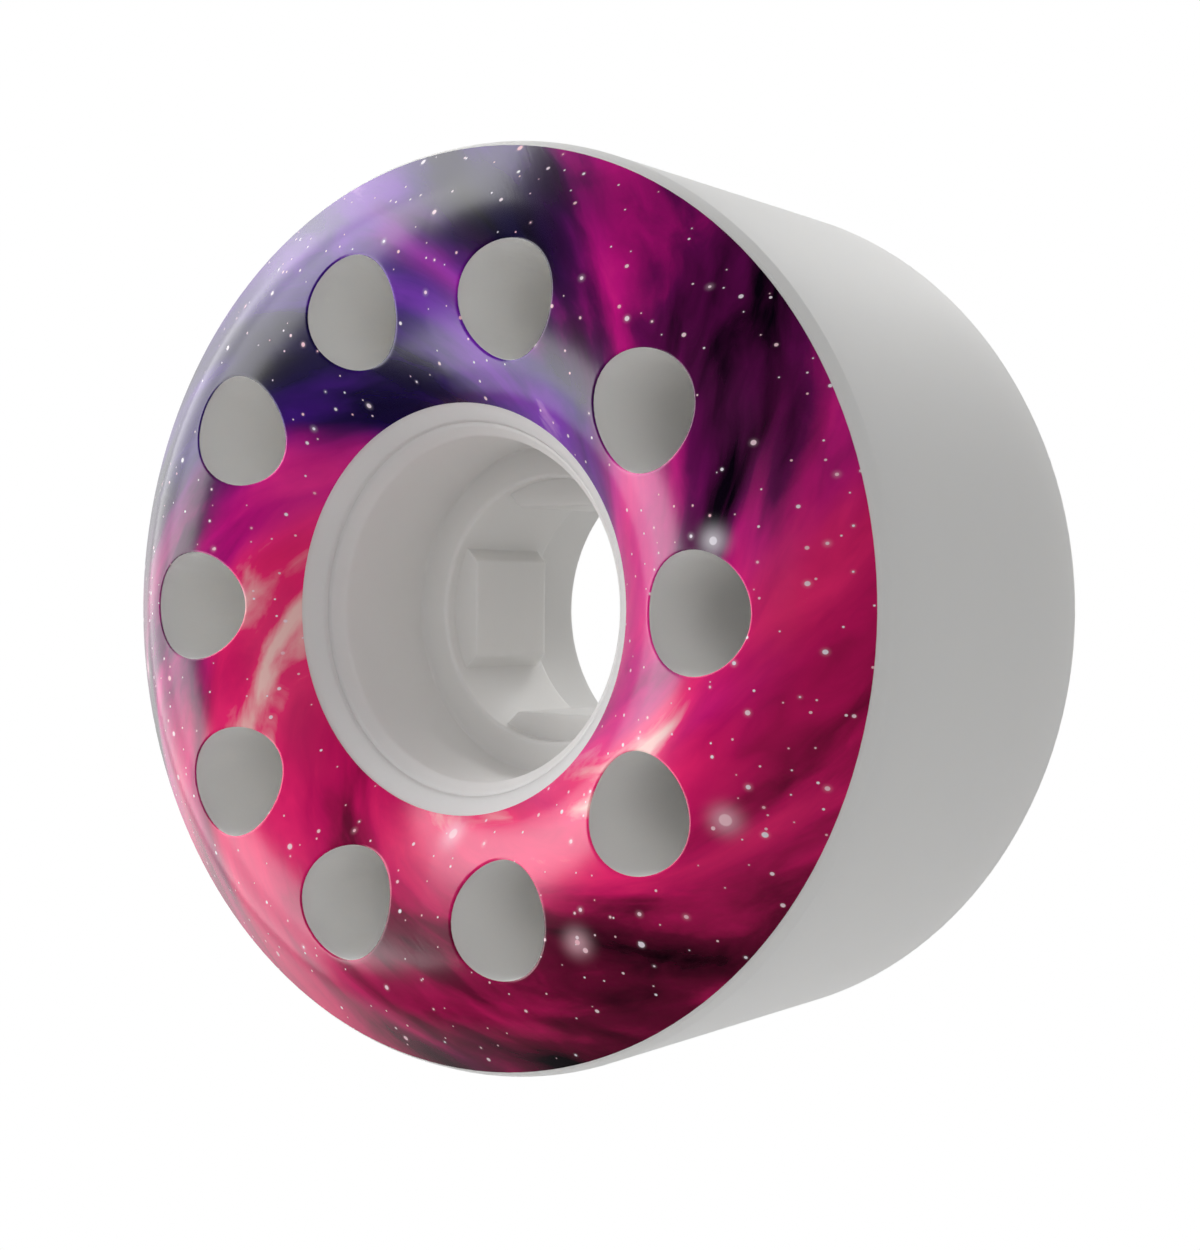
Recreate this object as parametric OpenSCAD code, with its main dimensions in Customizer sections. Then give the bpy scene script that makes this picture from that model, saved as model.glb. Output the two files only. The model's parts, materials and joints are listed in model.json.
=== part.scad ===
// Bare skateboard wheel: a urethane tyre cast on a moulded hub core, with a printed film on its front face.
// Millimetres. The wheel turns about Y, its printed front faces -Y, and the origin is the middle of the wheel.

/* [Tread] */
// Diameter over the tread
tread_d = 59; // [56:0.5:70]
// Width of the flat running band
tread_w = 26; // [24:0.5:40]
// Width of the bevel at each edge of the tread, along the axle
bevel_w = 0.9; // [0.4:0.1:3]
// Height of that bevel, towards the axle
bevel_h = 0.3; // [0.1:0.05:1.5]

/* [Face] */
// Slope of the face just inside the tread edge, in degrees from square to the axle
face_slope = 39; // [34:1:55]
// Width of that straight slope, towards the axle
face_slope_w = 3.25; // [2:0.05:6]
// Radius of the rounded crown that follows the slope
crown_r = 8.3; // [5:0.1:10]
// How far the rim of the mouth lies below the crest of the crown
rim_drop = 3.45; // [1.5:0.05:4.4]
// Width of the bare urethane lip around the mouth
mouth_lip_w = 1.15; // [0.5:0.05:2.5]

/* [Pockets] */
// Number of round pockets in each face
pocket_count = 10; // [6:1:12]
// Diameter of a pocket
pocket_d = 7.15; // [4:0.05:8]
// Depth of a pocket below the crest
pocket_depth = 13; // [6:0.5:16]
// How far the ring of pockets lies inside the crest
pocket_inset = 1.1; // [0:0.1:2]

/* [Bearing seats] */
// Diameter of a bearing seat, press fit for a 22 mm bearing
seat_d = 22; // [19:0.5:24]
// Depth of a seat, for a 7 mm wide bearing set a little below the edge
seat_depth = 7.85; // [6:0.05:8.8]
// Distance between the two seat shoulders, the length of an axle spacer and its clearance
seat_gap = 10.1; // [8:0.1:12]
// Width of the shoulder that a bearing's outer ring rests against
shoulder_w = 2.2; // [1:0.1:3]
// Radial width of the lead-in chamfer at the mouth of a seat
lead_in_w = 0.75; // [0.4:0.05:1.5]
// Length of that chamfer along the axle
lead_in_l = 1; // [0.5:0.1:2]

/* [Hub core] */
// Wall of the core around a bearing seat
core_wall = 2; // [1.6:0.1:3]
// Length over which the core narrows to its end
core_taper_l = 1.9; // [1:0.1:4]
// Number of lugs inside the passage between the seats
lug_count = 4; // [2:1:5]
// How far a lug stands back from the seat shoulder at each end
lug_setback = 1; // [0.2:0.1:3]
// Width of a lug's flat inner face
lug_w = 6.6; // [3:0.1:8]
// Height of a lug above the wall of the passage
lug_h = 1.85; // [0.5:0.05:3]
// Slant of a lug's flanks, in degrees
lug_flank = 45; // [10:1:55]
// Width of a key that locks the core in the tyre
key_w = 3.4; // [2:0.1:5]
// Height of a key above the core
key_h = 2.2; // [1:0.1:2.8]
// Length of a key along the axle
key_l = 12; // [6:0.5:16]
// Radius of the groove between core and tyre around the mouth
groove_r = 0.12; // [0.05:0.01:0.3]

/* [Printed face] */
// Thickness of the printed film
film_t = 0.1; // [0.05:0.01:0.3]
// White margin between the film and the edge of the face
film_margin = 0.15; // [0.05:0.05:1]
// White margin between the film and the edge of a pocket
film_gap = 0.08; // [0.02:0.02:0.5]

/* [Hidden] */
$fn = 128;

tread_r = tread_d / 2;
// The edge of the face: where its straight slope meets the tread bevel
edge_r = tread_r - bevel_h;
edge_y = tread_w / 2 + bevel_w;
// The slope rises to a tangent point, and the crown's arc goes on from there to the crest
slope_normal = [sin(face_slope), cos(face_slope)];
edge_point = [edge_r, edge_y];
tangent_point = edge_point + [-face_slope_w, face_slope_w * tan(face_slope)];
crown_centre = tangent_point - crown_r * slope_normal;
crest_r = crown_centre[0];
crest_y = crown_centre[1] + crown_r;

// The core: seats, shoulders and the passage between them
seat_r = seat_d / 2;
passage_r = seat_r - shoulder_w;
shoulder_y = seat_gap / 2;
seat_mouth_y = shoulder_y + seat_depth;
core_end_y = seat_mouth_y + lead_in_l;
core_end_r = seat_r + lead_in_w;
core_r = seat_r + core_wall;
lug_l = seat_gap - 2 * lug_setback;

// The mouth's rim, where the face ends and the lip falls away to the core
mouth_r = core_end_r + mouth_lip_w;
rim_y = crest_y - rim_drop;
// One arc runs from the crest down to the rim, level at the crest
inner_run = crest_r - mouth_r;
inner_r = (inner_run * inner_run + rim_drop * rim_drop) / (2 * rim_drop);

pocket_ring_r = crest_r - pocket_inset;
pocket_step = 360 / pocket_count;
film_edge_r = edge_r - film_margin;
// Cutting shapes and joined shapes run past the faces they meet by this much
overrun = 1;

// The part above a face's edge, between two radii, with its surface raised by grow
module face_section(grow, from_r, to_r) {
    slope_shift = grow * slope_normal;
    low_y = edge_y - overrun;
    intersection() {
        translate([from_r, low_y]) square([to_r - from_r, crest_y + overrun - low_y]);
        union() {
            translate(crown_centre) circle(r = crown_r + grow);
            intersection() {
                translate([crest_r, crest_y - inner_r]) circle(r = inner_r + grow);
                square([crest_r, crest_y + overrun]);
            }
            polygon([
                crown_centre,
                tangent_point + slope_shift,
                edge_point + slope_shift,
                [edge_r + overrun, edge_y - overrun],
                [crown_centre[0], low_y]
            ]);
        }
    }
}

// Half of the tyre's cross-section on one side of the axle, still without the room for the core
module tyre_section() {
    polygon([
        [mouth_r, -edge_y],
        [edge_r, -edge_y],
        [tread_r, -tread_w / 2],
        [tread_r, tread_w / 2],
        [edge_r, edge_y],
        [mouth_r, edge_y]
    ]);
    polygon([
        [core_end_r, -core_end_y],
        [mouth_r, -rim_y],
        [mouth_r, rim_y],
        [core_end_r, core_end_y]
    ]);
    for (side = [0, 1])
        mirror([0, side]) face_section(0, mouth_r, edge_r);
}

// The core's outline on one side of the axle: a sleeve that narrows at its ends
module core_outline() {
    polygon([
        [0, -core_end_y],
        [core_end_r, -core_end_y],
        [core_r, core_taper_l - core_end_y],
        [core_r, core_end_y - core_taper_l],
        [core_end_r, core_end_y],
        [0, core_end_y]
    ]);
}

// What is hollow inside that outline: a seat and its lead-in chamfer at each end, and the passage between them
module core_hollow() {
    polygon([
        [0, -core_end_y - overrun],
        [core_end_r, -core_end_y - overrun],
        [core_end_r, -core_end_y],
        [seat_r, -seat_mouth_y],
        [seat_r, -shoulder_y],
        [passage_r, -shoulder_y],
        [passage_r, shoulder_y],
        [seat_r, shoulder_y],
        [seat_r, seat_mouth_y],
        [core_end_r, core_end_y],
        [core_end_r, core_end_y + overrun],
        [0, core_end_y + overrun]
    ]);
}

// The fine groove around each mouth, where tyre and core meet
module groove_section() {
    for (side = [-1, 1])
        translate([core_end_r, side * core_end_y]) circle(r = groove_r);
}

// Keys that stand on the core between the pockets and lock it in the tyre
module keys() {
    for (i = [0 : pocket_count - 1])
        rotate((i + 0.5) * pocket_step)
            translate([core_r - overrun, -key_w / 2, -key_l / 2])
                cube([overrun + key_h, key_w, key_l]);
}

// One lug: a flat inner face with slanted flanks, its root in the core's wall
module lug() {
    root_x = passage_r + core_wall / 2;
    face_x = passage_r - lug_h;
    root_w = lug_w + 2 * (root_x - face_x) * tan(lug_flank);
    linear_extrude(lug_l, center = true) polygon([
        [face_x, -lug_w / 2],
        [root_x, -root_w / 2],
        [root_x, root_w / 2],
        [face_x, lug_w / 2]
    ]);
}

// A ring of round pockets sunk in one face, each wider by spare all round
module pockets(spare) {
    for (i = [0 : pocket_count - 1])
        rotate(i * pocket_step)
            translate([pocket_ring_r, 0, crest_y - pocket_depth])
                cylinder(d = pocket_d + 2 * spare, h = pocket_depth + overrun);
}

// From the turning axis of the sections to the wheel's own frame, front towards -Y
module in_wheel_frame() {
    rotate([90, 0, 0]) children();
}

module tyre() {
    color("white") in_wheel_frame() difference() {
        rotate_extrude() difference() {
            tyre_section();
            core_outline();
            groove_section();
        }
        keys();
        for (side = [0, 1])
            mirror([0, 0, side]) pockets(0);
    }
}

module hub_core() {
    color("whitesmoke") in_wheel_frame() {
        rotate_extrude() difference() {
            core_outline();
            core_hollow();
            groove_section();
        }
        keys();
        for (i = [0 : lug_count - 1])
            rotate(i * 360 / lug_count) lug();
    }
}

module printed_face() {
    color("mediumvioletred") in_wheel_frame() difference() {
        rotate_extrude() difference() {
            face_section(film_t, mouth_r, film_edge_r);
            face_section(0, mouth_r - overrun, edge_r + overrun);
        }
        pockets(film_gap);
    }
}

tyre();
hub_core();
printed_face();
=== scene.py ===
"""A bare skateboard wheel: a moulded hub core, the urethane tyre cast on it, and the film on its face.

The scene is in metres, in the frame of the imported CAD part: the wheel turns about Y, and its print looks
along -Y.
"""
import json
import math

import bmesh
import bpy
from mathutils import Color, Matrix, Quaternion, Vector


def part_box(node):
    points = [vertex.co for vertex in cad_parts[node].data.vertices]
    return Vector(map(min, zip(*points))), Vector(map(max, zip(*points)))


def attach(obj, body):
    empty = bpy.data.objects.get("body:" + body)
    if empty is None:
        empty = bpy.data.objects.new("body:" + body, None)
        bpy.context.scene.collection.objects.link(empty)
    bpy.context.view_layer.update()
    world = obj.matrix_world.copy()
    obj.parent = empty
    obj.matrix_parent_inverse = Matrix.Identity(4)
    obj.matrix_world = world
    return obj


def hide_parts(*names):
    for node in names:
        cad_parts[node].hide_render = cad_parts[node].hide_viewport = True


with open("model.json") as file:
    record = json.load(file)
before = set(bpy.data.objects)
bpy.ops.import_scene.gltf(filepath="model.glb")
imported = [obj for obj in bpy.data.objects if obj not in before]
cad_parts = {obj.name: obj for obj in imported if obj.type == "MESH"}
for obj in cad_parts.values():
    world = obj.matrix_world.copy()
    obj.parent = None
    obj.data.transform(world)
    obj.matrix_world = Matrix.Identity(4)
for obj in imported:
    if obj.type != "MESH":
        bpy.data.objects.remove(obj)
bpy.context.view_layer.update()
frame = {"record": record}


# Hub core.
# A stiff white sleeve, injection-moulded in nylon. A bearing is pressed into the seat at each end and rests
# on a shoulder. Four lugs stiffen the passage between the shoulders, and ten keys outside hold the tyre that
# is cast on it.

# Lengths are in millimetres until a mesh is made; radii are from the axle, and y is from the wheel's middle
MM = 0.001

seat = frame["record"]["mounts"][0]
seat_r = seat["dims"]["r_mm"]
seat_depth = seat["dims"]["length_mm"]
shoulder_y = abs(seat["pos_m"][1]) / MM - seat_depth / 2
seat_mouth_y = shoulder_y + seat_depth
lead_in_w = 0.75
lead_in_l = 1.0
core_end_r = seat_r + lead_in_w
core_end_y = seat_mouth_y + lead_in_l
core_wall = 2.0
core_r = seat_r + core_wall
core_taper_l = 1.9
core_taper = (core_r - core_end_r) / core_taper_l
shoulder_w = 2.2
passage_r = seat_r - shoulder_w

lug_count = 4
lug_h = 1.85
lug_half_w = 3.3
lug_setback = 1.0
lug_flank = math.radians(45)
lug_round = 0.16
lug_face_r = passage_r - lug_h
lug_half_l = shoulder_y - lug_setback

# The keys stand between the tyre's pockets, so there are as many
pocket_count = 10
pocket_step = math.tau / pocket_count
key_half_w = 1.7
key_half_l = 6.0
key_h = 2.2
key_top = core_r + key_h
key_half_angle = math.asin(key_half_w / core_r)


def rounded(corners, steps=4):
    """A profile's corners, each an (r, y, radius), as (r, y) points with an arc at each rounded corner."""
    points = [Vector(corners[0][:2])]
    for before, corner, after in zip(corners, corners[1:], corners[2:]):
        here, radius = Vector(corner[:2]), corner[2]
        back = (Vector(before[:2]) - here).normalized()
        ahead = (Vector(after[:2]) - here).normalized()
        half_angle = back.angle(ahead) / 2
        if radius == 0:
            points.append(here)
            continue
        centre = here + (back + ahead).normalized() * radius / math.sin(half_angle)
        start = here + back * radius / math.tan(half_angle)
        end = here + ahead * radius / math.tan(half_angle)
        # A point just outside each end of the arc keeps the shading of the straight runs even
        beside = min(radius / 3, 0.12)
        points.append(start + back * beside)
        for step in range(steps + 1):
            points.append(centre + (start - centre).slerp(end - centre, step / steps).normalized() * radius)
        points.append(end + ahead * beside)
    points.append(Vector(corners[-1][:2]))
    return points


def around(r, y, angle):
    """The point at a radius, a distance along the axle and an angle from +X towards +Z."""
    return Vector((r * math.cos(angle), y, r * math.sin(angle)))


def skin(mesh, rows):
    """Quads between neighbouring rows of points, each of which is a closed loop."""
    made = [[mesh.verts.new(point * MM) for point in row] for row in rows]
    for low, high in zip(made, made[1:]):
        for i in range(len(low)):
            j = (i + 1) % len(low)
            mesh.faces.new((low[i], low[j], high[j], high[i]))


# Points closer than the weld gap are one point, and edges shorter than a sliver are taken out
weld_gap = 0.0005
sliver = 0.0002
# How far the middle of a face on the wall between core and tyre may lie from the core's radius
wall_tolerance = 0.05


def weld(mesh):
    """Joins the points of neighbouring strips that lie in the same place."""
    bmesh.ops.remove_doubles(mesh, verts=mesh.verts, dist=weld_gap * MM)


def raise_keys(mesh):
    """Lifts ten patches of the wall between core and tyre out to the top of the keys."""
    for i in range(pocket_count):
        middle = around(1, 0, (i + 0.5) * pocket_step)
        patch = []
        for face in mesh.faces:
            place = face.calc_center_median() / MM
            reach = math.hypot(place.x, place.z)
            turn = middle.angle(Vector((place.x, 0, place.z)))
            on_wall = abs(reach - core_r) < wall_tolerance
            if on_wall and abs(place.y) < key_half_l and turn < key_half_angle:
                patch.append(face)
        raised = bmesh.ops.extrude_face_region(mesh, geom=patch)["geom"]
        for vertex in (item for item in raised if isinstance(item, bmesh.types.BMVert)):
            vertex.co += middle * (key_top * MM - vertex.co.dot(middle))
        # The faces that the key was lifted from would lie inside the mesh
        bmesh.ops.delete(mesh, geom=patch, context="FACES")


# Edges that turn more than this stay sharp
sharp_angle = math.radians(40)


def finished_piece(name, mesh, material, node):
    """Joins the mesh's seams and makes it a piece of the wheel that stands for a CAD node."""
    weld(mesh)
    bmesh.ops.dissolve_degenerate(mesh, edges=mesh.edges, dist=sliver * MM)
    bmesh.ops.recalc_face_normals(mesh, faces=mesh.faces)
    for edge in mesh.edges:
        edge.smooth = edge.calc_face_angle(0) < sharp_angle
    data = bpy.data.meshes.new(name)
    mesh.to_mesh(data)
    mesh.free()
    data.shade_smooth()
    data.materials.append(material)
    piece = bpy.data.objects.new(name, data)
    bpy.context.scene.collection.objects.link(piece)
    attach(piece, "root")
    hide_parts(node)


def soft_larger(a, b, width):
    """The larger of two values, with a smooth change over the given width."""
    near = max(width - abs(a - b), 0)
    return max(a, b) + near * near / (4 * width)


def passage_wall(angle):
    """Radius of the passage at an angle, where a lug stands or between the lugs."""
    lug_step = math.tau / lug_count
    off = abs((angle + lug_step / 2) % lug_step - lug_step / 2)
    slant = math.cos(off) * math.tan(lug_flank) - math.sin(off)
    # Near the middle between two lugs the flank's line runs off and no longer meets the wall
    if slant < 0.05:
        return passage_r
    flat = lug_face_r / math.cos(off)
    flank = (lug_face_r * math.tan(lug_flank) - lug_half_w) / slant
    return -soft_larger(-soft_larger(flat, flank, lug_round), -passage_r, lug_round)


# Where core and tyre meet around the mouth, the foot of a shallow groove on the core's taper
joint_depth = 0.09
joint_r = core_end_r + joint_depth * core_taper
joint_y = core_end_y - joint_depth
# A point further down that taper, where the joint is out of sight
hidden_depth = 0.5
hidden_point = (core_end_r + hidden_depth * core_taper, core_end_y - hidden_depth)

# Inside of the front half, from the mouth's edge to the passage. The groove takes the start of the lead-in,
# and points that stand off from the ends of the seat keep its shading even
lead_in_share = 0.22
lead_in_round = 0.6
seat_foot_round = 0.18
passage_edge_round = 0.24
stand_off = 1.0
lug_approach = 0.45
core_mouth = rounded([
    (*hidden_point, 0),
    (joint_r, joint_y, 0),
    (core_end_r - lead_in_share * lead_in_w, core_end_y - lead_in_share * lead_in_l, lead_in_round),
    (seat_r, seat_mouth_y, lead_in_round),
    (seat_r, seat_mouth_y - stand_off, 0),
    (seat_r, shoulder_y + stand_off, 0),
    (seat_r, shoulder_y, seat_foot_round),
    (passage_r, shoulder_y, passage_edge_round),
    (passage_r, lug_half_l + lug_approach, 0),
])
# A lug's end wall: share of the lug's height, and distance outwards from the lug's end
lug_end_path = (
    (0, 0.3), (0, 0.14), (0.03, 0.06), (0.12, 0.03), (0.5, 0.0),
    (0.88, -0.03), (0.97, -0.07), (1, -0.16), (1, -0.4),
)
passage_path = [(share, lug_half_l + out) for share, out in lug_end_path]
passage_path += [(1, lug_half_l * part) for part in (0.7, 0.4, 0.1)]
core_outside = [(core_r, core_end_y - core_taper_l), (core_r, key_half_l)]


def core_profile(angle):
    """The core's closed profile at an angle: inside from front to rear, and outside back to the front."""
    height = passage_r - passage_wall(angle)
    rear = [(r, y) for r, y in core_mouth] + [(passage_r - share * height, y) for share, y in passage_path]
    inside = [(r, -y) for r, y in rear] + rear[::-1]
    return inside + core_outside + [(r, -y) for r, y in reversed(core_outside)]


# Around the core: an even step that meets the edges of the keys, and a finer one over the flanks of the lugs
core_step = 1.5
flank_zone = (24, 30)
flank_parts = 3
core_angles = []
for step in range(round(360 / core_step)):
    angle = step * core_step
    off_lug = abs((angle + core_step / 2 + 180 / lug_count) % (360 / lug_count) - 180 / lug_count)
    parts = flank_parts if flank_zone[0] < off_lug < flank_zone[1] else 1
    core_angles += [math.radians(angle + core_step * part / parts) for part in range(parts)]

core_mesh = bmesh.new()
core_columns = [[around(r, y, angle) for r, y in core_profile(angle)] for angle in core_angles]
skin(core_mesh, core_columns + core_columns[:1])
weld(core_mesh)
raise_keys(core_mesh)


def node(tree, kind, inputs=None, **settings):
    """Adds a shader node, sets its options, and fills its inputs with values or links."""
    made = tree.nodes.new("ShaderNode" + kind)
    for name, value in settings.items():
        setattr(made, name, value)
    for name, value in (inputs or {}).items():
        if isinstance(value, bpy.types.NodeSocket):
            tree.links.new(value, made.inputs[name])
        else:
            made.inputs[name].default_value = value
    return made


def node_group(name, inputs, outputs):
    """A new shader node group with named sockets: the tree, its inputs' node and its outputs' node."""
    tree = bpy.data.node_groups.new(name, "ShaderNodeTree")
    for socket, kind in inputs.items():
        tree.interface.new_socket(socket, in_out="INPUT", socket_type="NodeSocket" + kind)
    for socket, kind in outputs.items():
        tree.interface.new_socket(socket, in_out="OUTPUT", socket_type="NodeSocket" + kind)
    return tree, tree.nodes.new("NodeGroupInput"), tree.nodes.new("NodeGroupOutput")


def blank_material(name):
    """A new material, its node tree and its output node."""
    material = bpy.data.materials.new(name)
    material.use_nodes = True
    material.node_tree.nodes.clear()
    return material, material.node_tree, node(material.node_tree, "OutputMaterial")


# What a mould leaves on white plastic: broad cloudy patches of tone, and a fine grain in gloss and height
mould_finish, into, out = node_group(
    "mould_finish",
    {"Patch Scale": "Float", "Grain Scale": "Float", "Smoothest": "Float", "Roughest": "Float"},
    {"Tone": "Float", "Roughness": "Float", "Height": "Float"},
)
place = node(mould_finish, "TexCoord").outputs["Object"]
patches = node(mould_finish, "TexNoise", {
    "Vector": place, "Scale": into.outputs["Patch Scale"], "Detail": 3.0, "Roughness": 0.55})
grain = node(mould_finish, "TexNoise", {
    "Vector": place, "Scale": into.outputs["Grain Scale"], "Detail": 2.0, "Roughness": 0.6})
gloss = node(mould_finish, "Mix", {
    "Factor": 0.4, "A": patches.outputs["Fac"], "B": grain.outputs["Fac"]}, data_type="FLOAT")
roughness = node(mould_finish, "MapRange", {
    "Value": gloss.outputs["Result"], "From Min": 0.3, "From Max": 0.7,
    "To Min": into.outputs["Smoothest"], "To Max": into.outputs["Roughest"]})
tone = node(mould_finish, "MapRange", {"Value": patches.outputs["Fac"], "From Min": 0.32, "From Max": 0.68})
mould_finish.links.new(tone.outputs["Result"], out.inputs["Tone"])
mould_finish.links.new(roughness.outputs["Result"], out.inputs["Roughness"])
mould_finish.links.new(grain.outputs["Fac"], out.inputs["Height"])


def white_plastic(name, light, dark, grain_height, milky, light_depth, **finish):
    """White moulded plastic: two close tones in patches, satin gloss, fine grain, and light that goes in."""
    material, tree, end = blank_material(name)
    surface = node(tree, "Group", node_tree=mould_finish)
    for socket, value in finish.items():
        surface.inputs[socket.replace("_", " ").title()].default_value = value
    colour = node(tree, "Mix", {
        "Factor": surface.outputs["Tone"], "A": (*dark, 1), "B": (*light, 1)}, data_type="RGBA")
    bump = node(tree, "Bump", {
        "Height": surface.outputs["Height"], "Strength": 0.2, "Distance": grain_height})
    shader = node(tree, "BsdfPrincipled", {
        "Base Color": colour.outputs["Result"], "Roughness": surface.outputs["Roughness"],
        "Normal": bump.outputs["Normal"], "IOR": 1.5,
        "Subsurface Weight": milky, "Subsurface Scale": light_depth, "Subsurface Radius": (1.0, 0.95, 0.88)})
    tree.links.new(shader.outputs["BSDF"], end.inputs["Surface"])
    return material


core_nylon = white_plastic(
    "core_nylon", light=(0.785, 0.775, 0.759), dark=(0.767, 0.757, 0.741), grain_height=0.02 * MM,
    milky=0.4, light_depth=2 * MM,
    patch_scale=120.0, grain_scale=5000.0, smoothest=0.5, roughest=0.6)
finished_piece("hub_core_moulding", core_mesh, core_nylon, "hub_core")


# Tyre.
# The white urethane body that rolls, poured into a mould around the core. Each face is crowned and has a ring
# of ten blind round pockets; a narrow bevel leads from the face to the flat tread.

tyre_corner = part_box("tyre")[1]
tread_r = tyre_corner.x / MM
crest_y = tyre_corner.y / MM
tread_half_w = 13.0
bevel_h = 0.3
bevel_w = 0.9
edge_r = tread_r - bevel_h
edge_y = tread_half_w + bevel_w

# The face's profile: a straight slope, the crown's arc up to the crest, and one arc down to the mouth's rim
face_slope = math.radians(39)
face_slope_w = 3.25
crown_r = 8.3
slope_end_r = edge_r - face_slope_w
crest_r = slope_end_r - crown_r * math.sin(face_slope)
mouth_lip_w = 1.15
rim_drop = 3.45
mouth_r = core_end_r + mouth_lip_w
rim_y = crest_y - rim_drop
dish_r = ((crest_r - mouth_r) ** 2 + rim_drop ** 2) / (2 * rim_drop)

pocket_d = 7.15
pocket_r = pocket_d / 2
pocket_inset = 1.1
pocket_depth = 13.0
pocket_ring_r = crest_r - pocket_inset
pocket_floor_y = crest_y - pocket_depth
pocket_rim = 0.15
pocket_floor_round = 0.6


def face_height(r):
    """Distance of the face from the middle of the wheel, at a radius."""
    if r > slope_end_r:
        return edge_y + (edge_r - r) * math.tan(face_slope)
    arc = crown_r if r > crest_r else dish_r
    return crest_y - arc + math.sqrt(arc * arc - (r - crest_r) ** 2)


def face_rise(r):
    """How steeply the face rises with the radius."""
    step = 0.001
    return (face_height(r + step) - face_height(r - step)) / (2 * step)


def on_face(x, z, lift):
    """The point of the face over a place in the wheel's plane, lifted along the face's normal."""
    r = math.hypot(x, z)
    rise = face_rise(r)
    steep = math.hypot(1, rise)
    reach = (r - lift * rise / steep) / r
    return Vector((x * reach, face_height(r) + lift / steep, z * reach))


# One tenth of a face: the angles across it, with points at the edges of the keys, and the edges of the print
half_step = pocket_step / 2
key_edge = half_step - key_half_angle
key_parts = 3
span_parts = 10
sector_angles = [-half_step + key_half_angle * i / key_parts for i in range(key_parts)]
sector_angles += [key_edge * (2 * i / span_parts - 1) for i in range(span_parts)]
sector_angles += [key_edge + key_half_angle * i / key_parts for i in range(key_parts + 1)]
print_inner_margin = 0.1
print_outer_margin = 0.22
print_inner_r = mouth_r + print_inner_margin
print_outer_r = edge_r - print_outer_margin
side_steps = 18


def sector_outline():
    """The outline of one tenth of the face around its pocket, as (x, z) points from the pocket's centre."""
    side = [print_outer_r + (print_inner_r - print_outer_r) * i / side_steps for i in range(1, side_steps)]
    outline = [(print_outer_r, angle) for angle in sector_angles]
    outline += [(r, half_step) for r in side]
    outline += [(print_inner_r, angle) for angle in reversed(sector_angles)]
    outline += [(r, -half_step) for r in reversed(side)]
    return [Vector((r * math.cos(angle) - pocket_ring_r, r * math.sin(angle))) for r, angle in outline]


def height_near_pocket(offset):
    """Distance of the face from the middle of the wheel, at a point given from a pocket's centre."""
    return face_height(math.hypot(pocket_ring_r + offset.x, offset.y))


def rim_arc(ray):
    """A pocket's rounded rim along a ray: where it starts, the tilt there, and its centre's height."""
    near = pocket_r + pocket_rim
    step = 0.01
    rise = height_near_pocket(ray * (near + step)) - height_near_pocket(ray * (near - step))
    tilt = math.atan(rise / (2 * step))
    start = near - pocket_rim * math.sin(tilt)
    return start, tilt, height_near_pocket(ray * start) - pocket_rim * math.cos(tilt)


def face_rows(lift, shares):
    """Loops of points from the outline of a tenth of the face in to its pocket's rim, lifted off the face."""
    rows = [[] for share in shares]
    for corner in sector_outline():
        ray = corner.normalized()
        start = rim_arc(ray)[0]
        for row, share in zip(rows, shares):
            place = ray * (start + (corner.length - start) * share)
            row.append(on_face(pocket_ring_r + place.x, place.y, lift))
    return rows


def rim_rows(lift, until, steps=5):
    """Loops of points over a pocket's rounded rim, down to a share of the turn into the pocket."""
    rows = [[] for step in range(steps)]
    for corner in sector_outline():
        ray = corner.normalized()
        tilt, centre_y = rim_arc(ray)[1:]
        for step, row in enumerate(rows, 1):
            turn = tilt + (math.pi / 2 - tilt) * until * step / steps
            place = ray * (pocket_r + pocket_rim - (pocket_rim + lift) * math.sin(turn))
            y = centre_y + (pocket_rim + lift) * math.cos(turn)
            row.append(Vector((pocket_ring_r + place.x, y, place.y)))
    return rows


def pocket_rows(rim_row, wall_steps=6, foot_steps=4):
    """Loops of points down a pocket's wall, round its foot and over its floor."""
    foot_y = pocket_floor_y + pocket_floor_round
    rows = []
    for step in range(1, wall_steps + 1):
        share = step / wall_steps
        rows.append([Vector((p.x, p.y + (foot_y - p.y) * share, p.z)) for p in rim_row])
    # The foot and the floor are the rim's loop, drawn in towards the pocket's centre line
    loops = []
    for step in range(1, foot_steps + 1):
        turn = math.pi / 2 * step / foot_steps
        shrink = 1 - pocket_floor_round * (1 - math.cos(turn)) / pocket_r
        loops.append((shrink, foot_y - pocket_floor_round * math.sin(turn)))
    loops += [(shrink, pocket_floor_y) for shrink in (0.55, 0.25, 0)]
    centre_x = pocket_ring_r
    for shrink, y in loops:
        rows.append([Vector((centre_x + (p.x - centre_x) * shrink, y, p.z * shrink)) for p in rim_row])
    return rows


def in_sector(rows, sector, side):
    """Rows of one tenth turned to its place on the front (side -1) or rear (side 1) face."""
    cos, sin = math.cos(sector * pocket_step), math.sin(sector * pocket_step)
    return [[Vector((p.x * cos - p.z * sin, p.y * side, p.x * sin + p.z * cos)) for p in row] for row in rows]


def ring_rows(profile):
    """A profile of (r, y) points turned about the axle, with the same angles as the tenths of the face."""
    angles = [sector * pocket_step + angle for sector in range(pocket_count) for angle in sector_angles[:-1]]
    return [[around(r, y, angle) for angle in angles] for r, y in profile]


face_shares = [1, 0.93, 0.85, 0.76, 0.67, 0.58, 0.49, 0.4, 0.31, 0.22, 0.14, 0.08, 0.03, 0]
tyre_tenth = face_rows(0, face_shares)
tyre_tenth += rim_rows(0, 1)
tyre_tenth += pocket_rows(tyre_tenth[-1])

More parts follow.
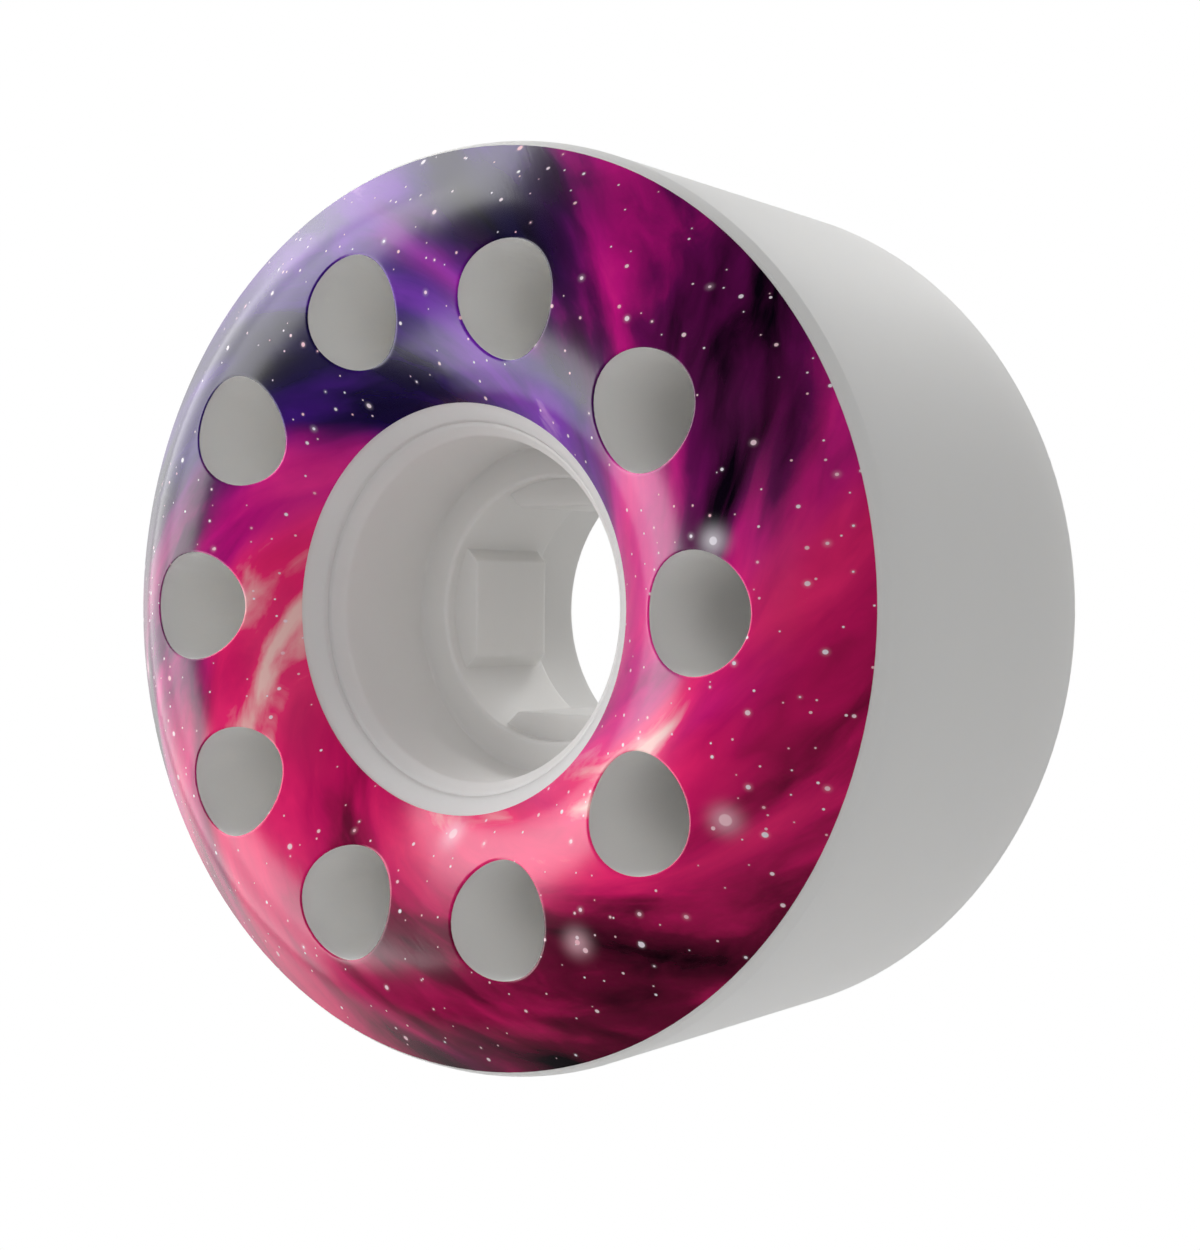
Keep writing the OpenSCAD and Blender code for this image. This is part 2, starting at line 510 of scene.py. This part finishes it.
# The plain rings: the bevel and the tread outside, and the mouth's lip and the joint with the core inside
face_edge_round = 0.12
tread_edge_round = 0.35
tread_stand_off = 0.8
tread_profile = rounded([
    (print_outer_r, face_height(print_outer_r), 0),
    (edge_r, edge_y, face_edge_round),
    (tread_r, tread_half_w, tread_edge_round),
    (tread_r, tread_half_w - tread_stand_off, 0),
])
tread_profile += [Vector((tread_r, tread_half_w * part)) for part in (0.66, 0.33)]
# The groove takes a share of the lip too
mouth_rim_round = 0.08
lip_share = 0.15
lip_round = 0.5
mouth_profile = rounded([
    (print_inner_r, face_height(print_inner_r), 0),
    (mouth_r, rim_y, mouth_rim_round),
    (core_end_r + lip_share * mouth_lip_w, core_end_y + lip_share * (rim_y - core_end_y), lip_round),
    (joint_r, joint_y, 0),
    (*hidden_point, 0),
    (core_r, core_end_y - core_taper_l, 0),
    (core_r, key_half_l, 0),
])

tyre_mesh = bmesh.new()
for side in (-1, 1):
    for sector in range(pocket_count):
        skin(tyre_mesh, in_sector(tyre_tenth, sector, side))
for profile in (tread_profile, mouth_profile):
    front_to_rear = [(r, -y) for r, y in profile] + [(r, y) for r, y in reversed(profile)]
    skin(tyre_mesh, ring_rows(front_to_rear))
weld(tyre_mesh)
raise_keys(tyre_mesh)

urethane = white_plastic(
    "urethane", light=(0.95, 0.938, 0.915), dark=(0.935, 0.923, 0.90), grain_height=0.02 * MM,
    milky=0.42, light_depth=12 * MM,
    patch_scale=70.0, grain_scale=3500.0, smoothest=0.55, roughest=0.65)
finished_piece("tyre_casting", tyre_mesh, urethane, "tyre")


# Printed film.
# A thin glossy full-colour film on the front face, bonded over the crown from the mouth's rim almost to the
# edge and rolled over the rims of the pockets. Its picture is a swirl of coloured clouds with stars.

film_t = 0.08
film_into_pocket = 0.45

film_mesh = bmesh.new()
film_top = face_rows(film_t, face_shares) + rim_rows(film_t, film_into_pocket)
film_base = face_rows(0, face_shares) + rim_rows(0, film_into_pocket)
for sector in range(pocket_count):
    top, base = in_sector(film_top, sector, -1), in_sector(film_base, sector, -1)
    skin(film_mesh, top)
    skin(film_mesh, base)
    skin(film_mesh, [top[-1], base[-1]])
for edge_of_print in (print_inner_r, print_outer_r):
    edge = on_face(edge_of_print, 0, 0), on_face(edge_of_print, 0, film_t)
    skin(film_mesh, ring_rows([(p.x, -p.y) for p in edge]))


def ink(red, green, blue):
    """A printed colour, given as it would be on a screen, 0 to 255."""
    return (*Color((red / 255, green / 255, blue / 255)).from_srgb_to_scene_linear(), 1)


def maths(tree, operation, *values):
    """The result of one Math node."""
    return node(tree, "Math", dict(enumerate(values)), operation=operation).outputs["Value"]


def vectors(tree, operation, *values):
    """The vector result of one Vector Math node."""
    return node(tree, "VectorMath", dict(enumerate(values)), operation=operation).outputs["Vector"]


def ease(tree, value, low, high):
    """A smooth change from 0 to 1 as a value goes from low to high."""
    return node(tree, "MapRange", {
        "Value": value, "From Min": low, "From Max": high}, interpolation_type="SMOOTHSTEP").outputs["Result"]


def blended(tree, share, first, second, mode="MIX"):
    """Two colours mixed by a share."""
    return node(tree, "Mix", {
        "Factor": share, "A": first, "B": second}, data_type="RGBA", blend_type=mode).outputs["Result"]


def inks(tree, value, stops):
    """A ramp of inks, from (place, ink) stops."""
    made = node(tree, "ValToRGB", {"Fac": value})
    ramp = made.color_ramp
    ramp.elements[0].position, ramp.elements[0].color = stops[0]
    ramp.elements[1].position, ramp.elements[1].color = stops[-1]
    for place, colour in stops[1:-1]:
        ramp.elements.new(place).color = colour
    return made.outputs["Color"]


# Stars strewn over a plane in millimetres: one in a share of the cells, each with its own size, tint and halo
star_layer, into, out = node_group(
    "star_layer",
    {"Plane": "Vector", "Cell": "Float", "Radius": "Float", "Halo": "Float", "Share": "Float"},
    {"Star": "Float", "Glow": "Float", "Tint": "Float"},
)
cells = node(star_layer, "TexVoronoi", {
    "Vector": into.outputs["Plane"], "Scale": maths(star_layer, "DIVIDE", 1.0, into.outputs["Cell"]),
    "Randomness": 0.85}, voronoi_dimensions="2D")
chance = node(star_layer, "SeparateColor", {"Color": cells.outputs["Color"]})
present = maths(star_layer, "LESS_THAN", chance.outputs["Red"], into.outputs["Share"])
away = maths(star_layer, "MULTIPLY", cells.outputs["Distance"], into.outputs["Cell"])
own_size = maths(star_layer, "MULTIPLY_ADD", chance.outputs["Green"], 0.8, 0.6)
radius = maths(star_layer, "MULTIPLY", own_size, into.outputs["Radius"])
star = ease(star_layer, maths(star_layer, "DIVIDE", away, radius), 1.0, 0.72)
near = ease(star_layer, maths(star_layer, "DIVIDE", away, into.outputs["Halo"]), 1.0, 0.0)
star_layer.links.new(maths(star_layer, "MULTIPLY", star, present), out.inputs["Star"])
star_layer.links.new(
    maths(star_layer, "MULTIPLY", maths(star_layer, "POWER", near, 3.0), present), out.inputs["Glow"])
star_layer.links.new(chance.outputs["Blue"], out.inputs["Tint"])

space_print, tree, end = blank_material("space_print")
place = node(tree, "TexCoord").outputs["Object"]

# The swirl: the face in shares of the tread's radius, turned further the nearer it is to the axle
swirl = 1.25
share_of_face = 1 / (tread_r * MM)
flat = vectors(tree, "MULTIPLY", place, (share_of_face, 0, share_of_face))
reach = node(tree, "VectorMath", {0: flat}, operation="LENGTH").outputs["Value"]
inward = maths(tree, "LOGARITHM", reach, math.e)
turned = node(tree, "VectorRotate", {
    "Vector": flat, "Angle": maths(tree, "MULTIPLY", inward, swirl)}, rotation_type="Y_AXIS")
turned = turned.outputs["Vector"]
heading = vectors(tree, "NORMALIZE", turned)
inward_line = node(tree, "CombineXYZ", {"Y": inward}).outputs["Vector"]


def noise(place, scale, detail, rough, **settings):
    """The values of one noise texture over a place."""
    return node(tree, "TexNoise", {
        "Vector": place, "Scale": scale, "Detail": detail, "Roughness": rough}, **settings).outputs["Fac"]


# Soft clouds torn by a coarser noise, with a finer dust over them
tear = node(tree, "TexNoise", {"Vector": turned, "Scale": 2.2, "Detail": 3.0, "Roughness": 0.5})
tear = vectors(tree, "SUBTRACT", tear.outputs["Color"], (0.5, 0.5, 0.5))
torn = vectors(tree, "MULTIPLY_ADD", tear, (0.5, 0.5, 0.5), turned)
clouds = noise(torn, 2.4, 5.0, 0.5)
dust = noise(torn, 9.0, 6.0, 0.6)

# Three arms and the glow around the mouth raise the clouds' brightness, and dark lanes lower it
bearing = node(tree, "SeparateXYZ", {"Vector": heading})
angle = maths(tree, "ARCTAN2", bearing.outputs["Z"], bearing.outputs["X"])
angle = maths(tree, "MULTIPLY_ADD", node(tree, "SeparateXYZ", {"Vector": tear}).outputs["X"], 1.2, angle)
arms = maths(tree, "COSINE", maths(tree, "MULTIPLY", angle, 3.0))
glow = ease(tree, reach, 0.75, 0.42)
lanes = ease(tree, noise(turned, 1.7, 3.0, 0.5), 0.52, 0.34)
level = maths(tree, "MULTIPLY_ADD", clouds, 1.8, -0.45)
level = maths(tree, "MULTIPLY_ADD", maths(tree, "SUBTRACT", dust, 0.5), 0.35, level)
level = maths(tree, "MULTIPLY_ADD", arms, 0.1, level)
level = maths(tree, "MULTIPLY_ADD", glow, 0.2, level)
level = maths(tree, "MULTIPLY_ADD", lanes, -0.3, level)

# Three families of ink, which change over around the wheel
drift = noise(torn, 1.3, 2.0, 0.5)
family = maths(tree, "COSINE", maths(tree, "ADD", angle, 0.9))
family = maths(tree, "MULTIPLY_ADD", family, 0.3, maths(tree, "MULTIPLY_ADD", drift, 1.0, 0.05))
violet = inks(tree, level, (
    (0.0, ink(6, 4, 18)), (0.25, ink(24, 6, 68)), (0.5, ink(62, 8, 124)), (0.8, ink(122, 32, 184)),
    (1.0, ink(226, 172, 240))))
magenta = inks(tree, level, (
    (0.0, ink(12, 0, 18)), (0.25, ink(106, 0, 86)), (0.5, ink(206, 0, 134)), (0.8, ink(252, 40, 150)),
    (1.0, ink(255, 206, 220))))
crimson = inks(tree, level, (
    (0.0, ink(16, 0, 12)), (0.25, ink(118, 0, 54)), (0.5, ink(208, 0, 98)), (0.8, ink(250, 30, 116)),
    (1.0, ink(255, 206, 200))))
colour = blended(tree, ease(tree, family, 0.28, 0.48), violet, magenta)
colour = blended(tree, ease(tree, family, 0.55, 0.75), colour, crimson)

# Thin bright streaks that follow the swirl, here and there
combed = vectors(tree, "MULTIPLY", heading, (2.2, 0, 2.2))
combed = vectors(tree, "MULTIPLY_ADD", inward_line, (0, 7.0, 0), combed)
streaks = noise(combed, 1.3, 4.0, 0.55, noise_type="RIDGED_MULTIFRACTAL", normalize=True)
places = ease(tree, noise(torn, 3.1, 2.0, 0.5), 0.52, 0.66)
streak = maths(tree, "MULTIPLY", ease(tree, streaks, 0.62, 1.0), places)
colour = blended(tree, maths(tree, "MULTIPLY", streak, 0.8), colour, ink(255, 96, 110), "SCREEN")

# Stars: fine dust, small and middling ones, and a few large ones with a halo
in_mm = vectors(tree, "MULTIPLY", place, (1 / MM, 1 / MM, 1 / MM))
in_mm = node(tree, "SeparateXYZ", {"Vector": in_mm}).outputs
plane_mm = node(tree, "CombineXYZ", {"X": in_mm["X"], "Y": in_mm["Z"]}).outputs["Vector"]
for cell, radius, halo, share, shine in (
        (1.3, 0.065, 0.2, 0.3, 0.1), (2.3, 0.1, 0.3, 0.4, 0.2), (3.7, 0.15, 0.5, 0.4, 0.3),
        (10.0, 0.28, 2.2, 0.4, 0.6)):
    stars = node(tree, "Group", {
        "Plane": plane_mm, "Cell": cell, "Radius": radius, "Halo": halo, "Share": share,
    }, node_tree=star_layer)
    tint = blended(tree, stars.outputs["Tint"], ink(255, 196, 208), ink(250, 246, 255))
    colour = blended(tree, maths(tree, "MULTIPLY", stars.outputs["Glow"], shine), colour, tint, "SCREEN")
    colour = blended(tree, stars.outputs["Star"], colour, tint)

# The gloss is not quite even: fine ripples across the film that lie in and out along the radius
ripple_place = vectors(tree, "MULTIPLY", inward_line, (0, 18, 0))
ripple_place = vectors(tree, "MULTIPLY_ADD", heading, (90, 0, 90), ripple_place)
ripples = node(tree, "Bump", {
    "Height": noise(ripple_place, 1.0, 2.0, 0.5), "Strength": 0.08, "Distance": 0.05 * MM})
shader = node(tree, "BsdfPrincipled", {
    "Base Color": colour, "Roughness": 0.22, "IOR": 1.65, "Normal": ripples.outputs["Normal"]})
tree.links.new(shader.outputs["BSDF"], end.inputs["Surface"])
finished_piece("face_print", film_mesh, space_print, "printed_face")


# Studio.
# A pale floor well under the wheel, soft lamps around it, and a camera in front and to the right of the face.

floor_z = -120 * MM
floor_half = 1500 * MM
floor_data = bpy.data.meshes.new("floor")
floor_data.from_pydata(
    [(-floor_half, -floor_half, floor_z), (floor_half, -floor_half, floor_z),
     (floor_half, floor_half, floor_z), (-floor_half, floor_half, floor_z)], [], [(0, 1, 2, 3)])
floor = bpy.data.objects.new("floor", floor_data)
bpy.context.scene.collection.objects.link(floor)
floor.visible_glossy = False


def background_rays(tree):
    """Two masks: all rays that see the background, and those that see it in gloss or through glass."""
    rays = node(tree, "LightPath").outputs
    gloss_or_glass = maths(tree, "MAXIMUM", rays["Is Glossy Ray"], rays["Is Transmission Ray"])
    return maths(tree, "MAXIMUM", rays["Is Camera Ray"], gloss_or_glass), gloss_or_glass


# Under the wheel the floor is a pale matt sheet that takes its shadow; further out it runs into the white
sheet_r = 140 * MM
white_from_r = 240 * MM
floor_paint, tree, end = blank_material("floor_paint")
sheet = node(tree, "BsdfDiffuse", {"Color": (0.8, 0.8, 0.8, 1)})
far_white = node(tree, "Emission", {"Color": (1, 1, 1, 1), "Strength": 1.0})
place = node(tree, "TexCoord").outputs["Object"]
spread = node(tree, "VectorMath", {0: place}, operation="LENGTH").outputs["Value"]
fade = maths(tree, "MULTIPLY", ease(tree, spread, sheet_r, white_from_r), background_rays(tree)[0])
mixed = node(tree, "MixShader", {0: fade, 1: sheet.outputs["BSDF"], 2: far_white.outputs["Emission"]})
tree.links.new(mixed.outputs["Shader"], end.inputs["Surface"])
floor_data.materials.append(floor_paint)

# The room: white to the camera, even soft light from all round, and in gloss dark in front of the wheel, so
# that the print stays deep
ambient = 0.32
world = bpy.data.worlds.new("studio")
bpy.context.scene.world = world
world.use_nodes = True
tree = world.node_tree
tree.nodes.clear()
seen, seen_in_gloss = background_rays(tree)
direction = node(tree, "SeparateXYZ", {"Vector": node(tree, "TexCoord").outputs["Generated"]})
behind = ease(tree, direction.outputs["Y"], -0.25, 0.65)
dark = maths(tree, "MULTIPLY", seen_in_gloss, maths(tree, "SUBTRACT", 1.0, behind))
white = maths(tree, "SUBTRACT", 1.0, dark)
strength = node(tree, "Mix", {"Factor": seen, "A": ambient, "B": white}, data_type="FLOAT")
room = node(tree, "Background", {"Color": (1, 1, 1, 1), "Strength": strength.outputs["Result"]})
tree.links.new(room.outputs["Background"], node(tree, "OutputWorld").inputs["Surface"])


def soft_lamp(name, place, width, height, level, in_gloss=True):
    """A rectangular softbox that looks at the wheel; level is the brightness of its face."""
    data = bpy.data.lights.new(name, "AREA")
    data.shape = "RECTANGLE"
    data.size = width * MM
    data.size_y = height * MM
    data.energy = level * math.pi * data.size * data.size_y
    lamp = bpy.data.objects.new(name, data)
    lamp.location = Vector(place) * MM
    lamp.rotation_mode = "QUATERNION"
    lamp.rotation_quaternion = (-lamp.location).to_track_quat("-Z", "Y")
    lamp.visible_camera = False
    lamp.visible_glossy = in_gloss
    bpy.context.scene.collection.objects.link(lamp)
    return lamp


# Two tall softboxes side by side on the left, which lean forward; only gloss shows them, as a glare
lean = Quaternion((0, 0, 1), math.radians(12.4))
for name, y, width, level in (("left_lamp", -69.5, 70, 3.05), ("left_rear_lamp", -6.5, 56, 1.65)):
    lamp = soft_lamp(name, (-100, y, 70), width, 320, level)
    lamp.rotation_quaternion = Vector((1, 0, 0)).to_track_quat("-Z", "Y") @ lean
    lamp.visible_diffuse = False

# The light on the whites: a fill from the left, one from beside the camera, a softbox high behind for the top
# of the tread, and a small lamp there whose light falls through the rear of the hub
soft_lamp("left_fill", (-225, -165, 100), width=110, height=220, level=6.3, in_gloss=False)
soft_lamp("front_lamp", (110, -258, 90), width=220, height=220, level=0.92, in_gloss=False)
soft_lamp("back_lamp", (8, 260, 185), width=140, height=100, level=2.6)
soft_lamp("hub_lamp", (-38, 235, 213), width=60, height=45, level=44.0, in_gloss=False)

bpy.context.scene.view_settings.view_transform = "Standard"

# The camera's place and lens are solved from the wheel's round edges in the photograph
camera_data = bpy.data.cameras.new("camera")
camera_data.lens = 60.5
camera_data.sensor_width = 36
camera = bpy.data.objects.new("camera", camera_data)
bpy.context.scene.collection.objects.link(camera)
bpy.context.scene.camera = camera
camera.location = Vector((82.53, -118.17, 0.66)) * MM
aim = Vector((0.44, 0.25, -1.03)) * MM
roll = math.radians(0.66)
camera.rotation_mode = "QUATERNION"
camera.rotation_quaternion = (aim - camera.location).to_track_quat("-Z", "Y") @ Quaternion((0, 0, 1), roll)
